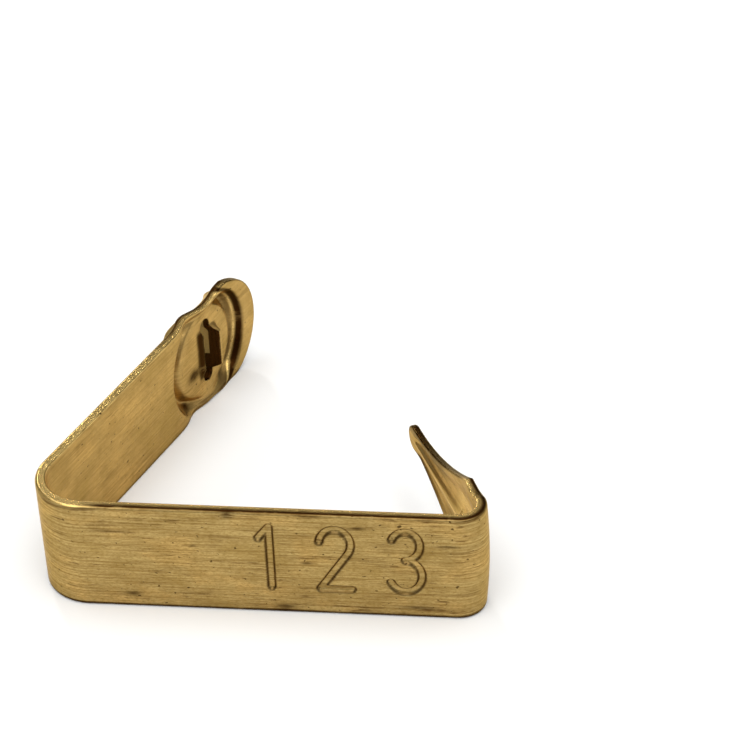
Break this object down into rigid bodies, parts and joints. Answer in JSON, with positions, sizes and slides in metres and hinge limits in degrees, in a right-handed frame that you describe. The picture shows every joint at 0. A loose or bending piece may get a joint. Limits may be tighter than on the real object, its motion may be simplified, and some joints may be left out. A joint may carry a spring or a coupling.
{
  "type": "poultry leg band",
  "caption": "Open self-piercing leg band: a bent brass strip with a numbered plate, a slotted arm with a raised cap, and a pointed tongue.",
  "frame": {"origin": "under the middle of the band's bounding box, on the surface that the lower strip edge lies on", "axes": "+X along the number plate from the heel to the tongue, +Y into the open V, +Z across the strip from its lower to its upper edge"},
  "size_m": [0.0212, 0.0206, 0.006],
  "materials": {
    "brass": "brushed, lightly tarnished"
  },
  "bodies": {
    "root": {"number_plate": "brass", "heel_flex": "brass", "tongue_bend": "brass", "tongue_root": "brass", "tongue_blade": "brass"},
    "arm": {"heel_bend": "brass", "slotted_arm": "brass", "cap_boss": "brass", "cap_rim": "brass", "slot_lips": "brass"},
    "point": {"point_flex": "brass", "tongue_point": "brass"}
  },
  "joints": [
    {"name": "arm_fold", "type": "hinge", "parent": "root", "child": "arm", "pos_m": [-0.00677, -0.0099, 0], "axis": [0, 0, -1], "range_deg": [0, 65], "deforming": ["heel_flex"]},
    {"name": "point_clinch", "type": "hinge", "parent": "root", "child": "point", "pos_m": [0.00755, -0.00254, 0], "axis": [0, 0, 1], "range_deg": [0, 80], "deforming": ["point_flex"]}
  ]
}
